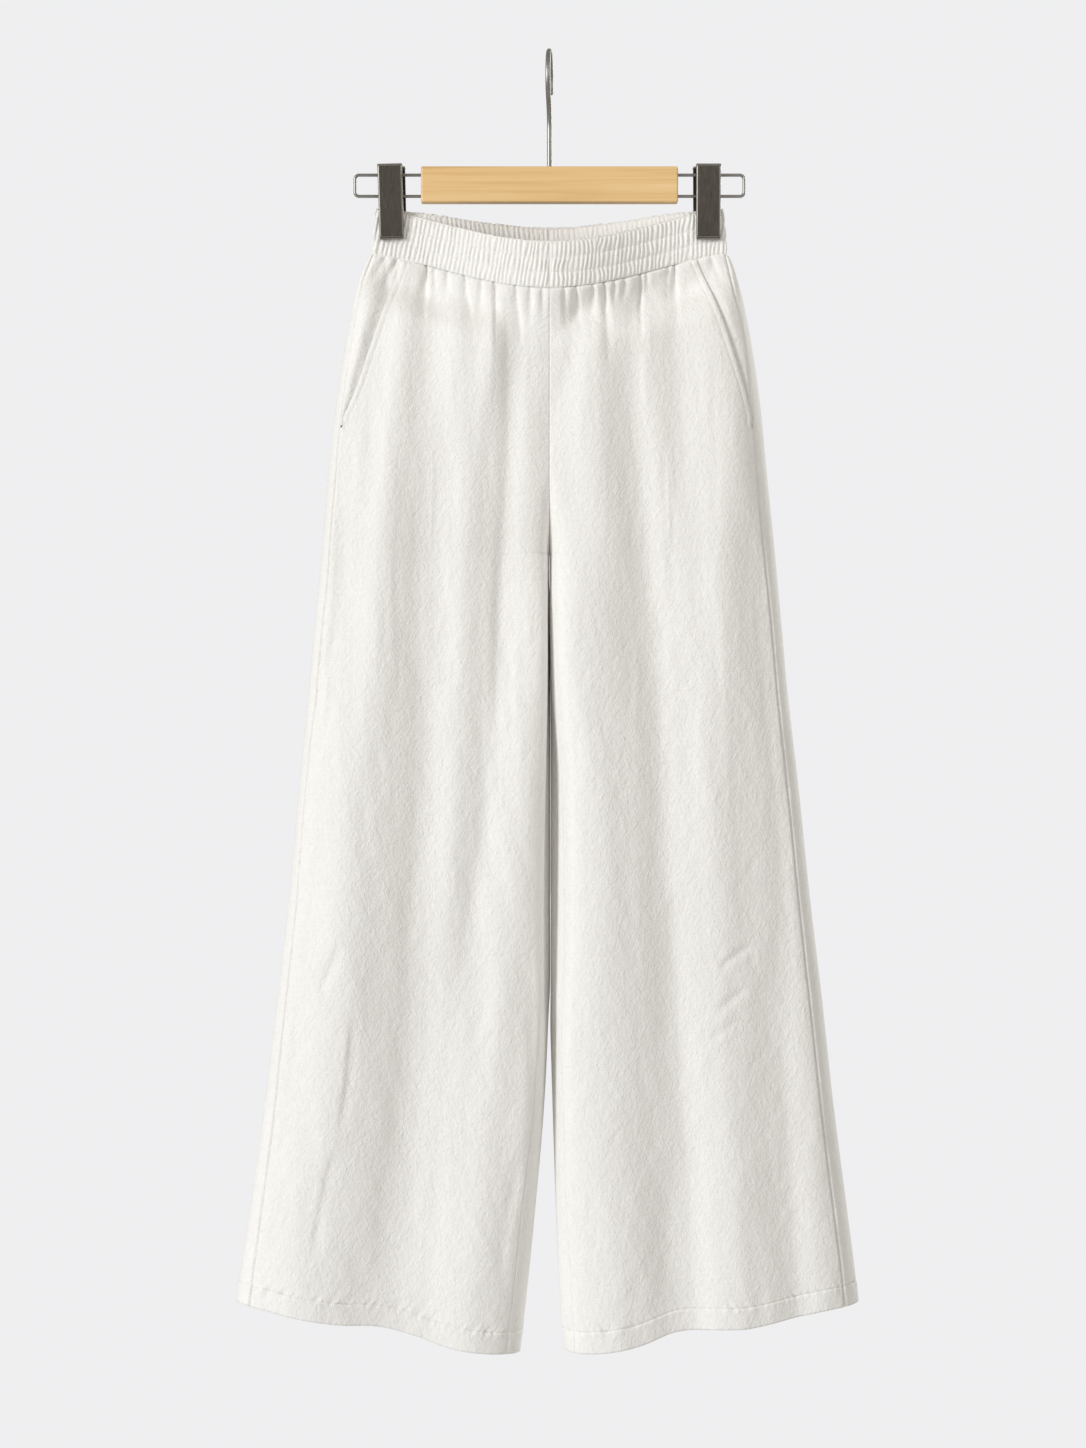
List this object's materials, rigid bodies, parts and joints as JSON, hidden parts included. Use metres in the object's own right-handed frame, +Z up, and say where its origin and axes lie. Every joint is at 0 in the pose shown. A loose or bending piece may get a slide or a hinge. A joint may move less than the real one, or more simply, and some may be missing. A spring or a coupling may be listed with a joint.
{
  "type": "culottes on a clip hanger",
  "caption": "Wide full-length culottes with a shirred elastic waist and slant pockets, hanging from a clip hanger with a wooden bar.",
  "frame": {"origin": "inside top of the hanger's hook, where a rail carries it", "axes": "+Z up; -Y towards the front of the garment; +X to the right as seen from the front"},
  "size_m": [0.5464, 0.0857, 1.1443],
  "materials": {
    "cloth": "off-white slubbed linen-viscose weave, slightly crinkled, soft sheen",
    "wood": "light maple, satin varnish",
    "wire": "plated wire",
    "clip": "gunmetal, satin",
    "core": "dark metal, satin"
  },
  "bodies": {
    "root": {"waistband_left": "cloth", "waistband_right": "cloth", "front_left_hip": "cloth", "front_left_thigh": "cloth", "front_left_calf": "cloth", "front_right_hip": "cloth", "front_right_thigh": "cloth", "front_right_calf": "cloth", "back_left_hip": "cloth", "back_left_thigh": "cloth", "back_left_calf": "cloth", "back_right_hip": "cloth", "back_right_thigh": "cloth", "back_right_calf": "cloth", "pocket_back_left": "cloth", "pocket_back_right": "cloth", "pocket_front_left": "cloth", "pocket_front_right": "cloth", "hanger_bar": "wood", "hanger_hook": "wire", "hanger_wire_left": "wire", "hanger_wire_right": "wire", "clip_left_front": "clip", "clip_left_back": "clip", "clip_left_core": "core", "clip_right_front": "clip", "clip_right_back": "clip", "clip_right_core": "core"}
  },
  "joints": []
}
